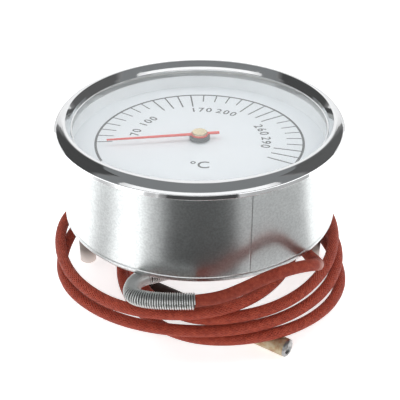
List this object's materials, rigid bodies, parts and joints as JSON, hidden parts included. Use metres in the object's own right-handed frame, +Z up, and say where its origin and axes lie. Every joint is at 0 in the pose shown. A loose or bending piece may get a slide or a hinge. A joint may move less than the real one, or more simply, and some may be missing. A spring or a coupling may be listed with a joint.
{
  "type": "oven thermometer",
  "caption": "Round dial thermometer head in a metal case with a chrome bezel, on two rear pillars, with a sleeved capillary in a loose coil and a remote sensor bulb.",
  "frame": {"origin": "on the floor under the middle of the dial, level with the free ends of the two rear pillars", "axes": "+Z up through the dial and out of the glass; +X along the line of the two pillars, to the reader's right; +Y to the dial's top"},
  "size_m": [0.0825, 0.0848, 0.0495],
  "materials": {
    "zinc_case": "zinc-plated, fine grain, satin",
    "bezel_chrome": "polished",
    "lens": "clear flat glass",
    "white_spacer": "matt white",
    "dial_white": "white enamel with dark grey print",
    "plain_steel": "turned, satin",
    "pointer_red": "thin red paint",
    "hub_brass": "satin",
    "boss_black": "dark, low gloss",
    "movement_brass": "stamped, satin",
    "gland_brass": "turned",
    "pillar_cream": "pale grey, satin",
    "spring_steel": "close-wound wire, satin",
    "sleeve_red": "matt brick-red woven and coated sleeve",
    "bulb_copper": "bare copper, lightly tarnished"
  },
  "bodies": {
    "head": {"case_drum": "zinc_case", "back_cover": "zinc_case", "bezel_ring": "bezel_chrome", "lens_glass": "lens", "spacer_ring": "white_spacer", "dial_plate": "dial_white", "dial_support_ring": "plain_steel", "movement_bottom_plate": "movement_brass", "movement_top_plate": "movement_brass", "movement_posts": "movement_brass", "movement_screws": "plain_steel", "bourdon_tube": "bulb_copper", "bourdon_tip": "movement_brass", "socket_block": "movement_brass", "capillary_gland": "gland_brass", "mounting_pillars": "pillar_cream", "spring_guard": "spring_steel", "capillary_sleeve": "sleeve_red", "sensor_bulb": "bulb_copper"},
    "pointer": {"pointer": "pointer_red", "pointer_hub": "hub_brass", "pointer_boss": "boss_black", "pointer_spindle": "plain_steel"},
    "sector": {"sector_gear": "movement_brass", "sector_arbor": "plain_steel", "link_pin": "plain_steel"},
    "link": {"drive_link": "movement_brass"}
  },
  "joints": [
    {"name": "pointer_turn", "type": "hinge", "parent": "head", "child": "pointer", "pos_m": [0, 0, 0.043], "axis": [0, 0, 1], "range_deg": [-218, 0]},
    {"name": "sector_turn", "type": "hinge", "parent": "head", "child": "sector", "pos_m": [-0.0115, -0.01141, 0.0323], "axis": [0, 0, 1], "range_deg": [0, 27.25]},
    {"name": "link_turn", "type": "hinge", "parent": "sector", "child": "link", "pos_m": [-0.01236, -0.00446, 0.0308], "axis": [0, 0, 1], "range_deg": [-27.25, 0]}
  ],
  "couplings": [
    {"joint": "sector_turn", "follows": "pointer_turn", "ratio": -0.125},
    {"joint": "link_turn", "follows": "pointer_turn", "ratio": 0.125}
  ]
}
